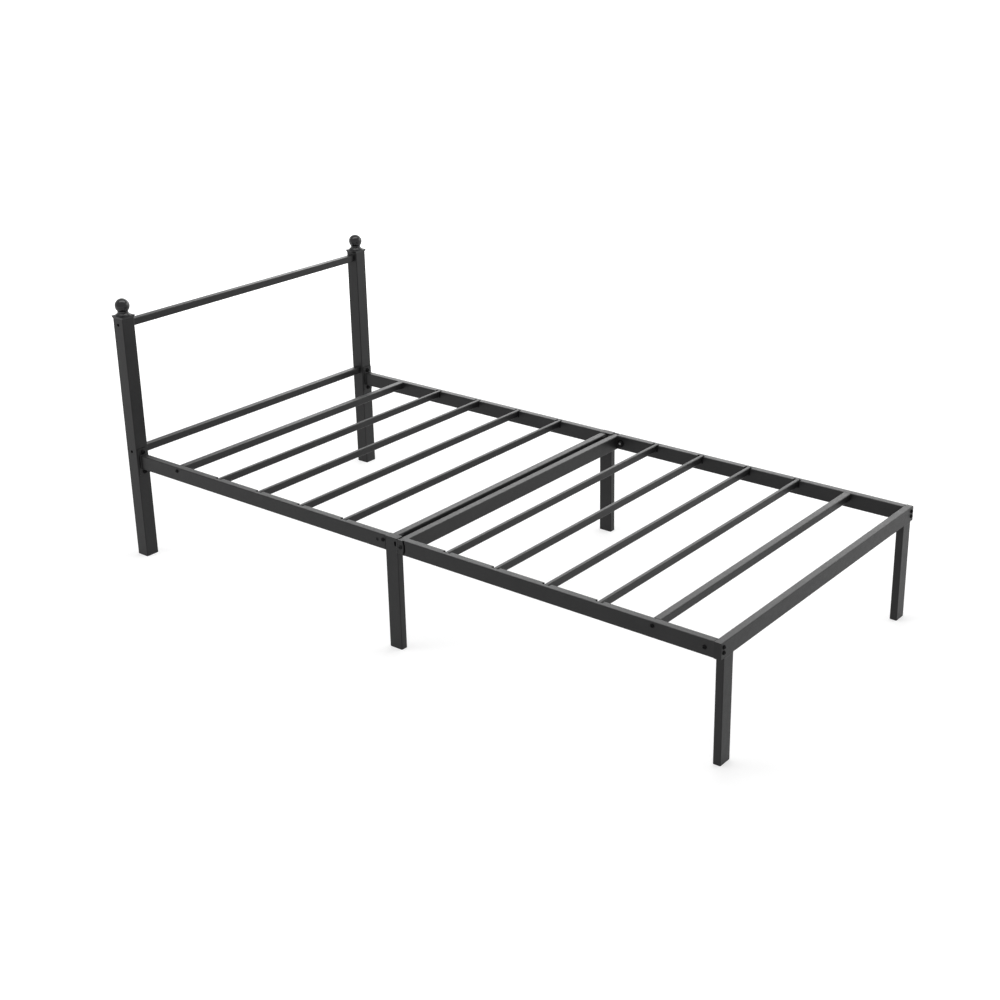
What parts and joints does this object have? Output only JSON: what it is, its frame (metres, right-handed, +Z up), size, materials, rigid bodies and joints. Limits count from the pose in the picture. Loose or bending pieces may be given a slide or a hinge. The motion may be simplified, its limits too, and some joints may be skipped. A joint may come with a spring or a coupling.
{
  "type": "metal bed frame",
  "caption": "Black powder-coated steel single bed frame with a low barred headboard, ball finials, tube side rails, steel cross slats and square legs.",
  "frame": {"origin": "On the floor, under the middle of the bed's overall box.", "axes": "+X from the headboard to the foot end, +Y to the sleeper's left, +Z up."},
  "size_m": [1.93, 0.95, 0.75],
  "materials": {
    "frame_paint": "satin black powder coat",
    "finial_plastic": "smooth black moulded plastic",
    "plug_plastic": "matt black moulded plastic",
    "black_fixing": "black oxide",
    "zinc_steel": "zinc plated"
  },
  "bodies": {
    "root": {"post_left": "frame_paint", "post_right": "frame_paint", "finial_left": "finial_plastic", "finial_right": "finial_plastic", "upper_crossbar": "frame_paint", "lower_crossbar": "frame_paint", "crossbar_bolts": "black_fixing", "rail_plate_left": "frame_paint", "rail_plate_right": "frame_paint", "plate_bolts": "black_fixing", "plate_nuts": "zinc_steel", "head_rail_left": "frame_paint", "head_rail_right": "frame_paint", "foot_side_rail_left": "frame_paint", "foot_side_rail_right": "frame_paint", "mid_leg_left": "frame_paint", "mid_leg_right": "frame_paint", "leg_ear_left": "frame_paint", "leg_ear_right": "frame_paint", "splice_tongue_left": "frame_paint", "splice_tongue_right": "frame_paint", "joint_tongue_left": "frame_paint", "joint_tongue_right": "frame_paint", "mid_beam_head": "frame_paint", "mid_beam_foot": "frame_paint", "beam_cleats": "frame_paint", "foot_rail": "frame_paint", "foot_leg_left": "frame_paint", "foot_leg_right": "frame_paint", "corner_bracket_left": "frame_paint", "corner_bracket_right": "frame_paint", "wide_slat_head": "frame_paint", "wide_slat_foot": "frame_paint", "narrow_slat_1": "frame_paint", "narrow_slat_2": "frame_paint", "narrow_slat_3": "frame_paint", "narrow_slat_4": "frame_paint", "narrow_slat_5": "frame_paint", "narrow_slat_6": "frame_paint", "narrow_slat_7": "frame_paint", "narrow_slat_8": "frame_paint", "slat_cradles": "plug_plastic", "slat_bolts": "black_fixing", "ear_bolts": "black_fixing", "leg_bolts": "black_fixing", "leg_nuts": "zinc_steel", "tongue_bolts": "black_fixing", "tongue_nuts": "zinc_steel", "joint_bolts": "black_fixing", "splice_rivets": "black_fixing", "corner_bolts": "black_fixing", "post_foot_left": "plug_plastic", "post_foot_right": "plug_plastic", "mid_foot_left": "plug_plastic", "mid_foot_right": "plug_plastic", "end_foot_left": "plug_plastic", "end_foot_right": "plug_plastic", "leg_top_plugs": "plug_plastic", "rail_end_plugs": "plug_plastic"}
  },
  "joints": []
}
